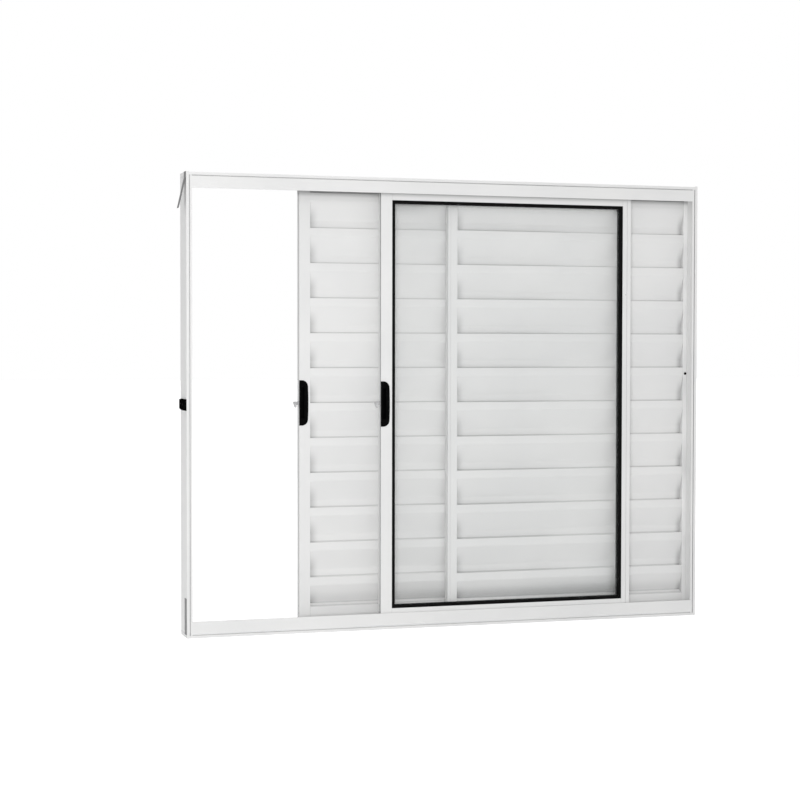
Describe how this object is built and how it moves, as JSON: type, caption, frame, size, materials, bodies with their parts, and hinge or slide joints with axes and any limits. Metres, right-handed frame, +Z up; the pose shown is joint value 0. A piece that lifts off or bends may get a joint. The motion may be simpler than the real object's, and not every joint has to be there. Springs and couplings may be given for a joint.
{
  "type": "louvred shutter window",
  "caption": "Horizontal sliding window in white coated aluminium with a glazed sash in front of two louvred leaves in a three-track frame.",
  "frame": {"origin": "middle of the sill's underside, half way through the frame's depth", "axes": "+X to the right seen from the room, +Y outward through the wall, +Z up"},
  "size_m": [1.217, 0.072, 1],
  "materials": {
    "powder_white": "satin powder coat",
    "slat_white": "satin powder coat",
    "black_plastic": "satin moulded",
    "grey_nylon": "matt moulded",
    "zinc_steel": "zinc plated",
    "black_rubber": "matt",
    "clear_glass": "clear float"
  },
  "bodies": {
    "root": {"left_jamb": "powder_white", "right_jamb": "powder_white", "head": "powder_white", "sill": "powder_white", "latch_keeper_box": "black_plastic", "anchor_strap_upper_left": "zinc_steel", "anchor_strap_lower_left": "zinc_steel", "anchor_strap_upper_right": "zinc_steel", "anchor_strap_lower_right": "zinc_steel", "glass_sash_left_stile": "powder_white", "glass_sash_right_stile": "powder_white", "glass_sash_top_rail": "powder_white", "glass_sash_bottom_rail": "powder_white", "glass_pane": "clear_glass", "glazing_gasket": "black_rubber", "glass_sash_latch": "black_plastic", "glass_sash_latch_hook": "zinc_steel", "glass_sash_rollers": "grey_nylon", "sliding_leaf_left_stile": "powder_white", "sliding_leaf_right_stile": "powder_white", "sliding_leaf_slats": "slat_white", "sliding_leaf_bottom_rail": "powder_white", "sliding_leaf_top_rail": "powder_white", "sliding_leaf_latch": "black_plastic", "sliding_leaf_latch_hook": "zinc_steel", "sliding_leaf_rollers": "grey_nylon", "fixed_leaf_left_stile": "powder_white", "fixed_leaf_right_stile": "powder_white", "fixed_leaf_slats": "slat_white", "fixed_leaf_bottom_rail": "powder_white", "fixed_leaf_top_rail": "powder_white", "fixed_leaf_packers": "grey_nylon", "fixed_leaf_stop_button": "black_plastic"}
  },
  "joints": []
}
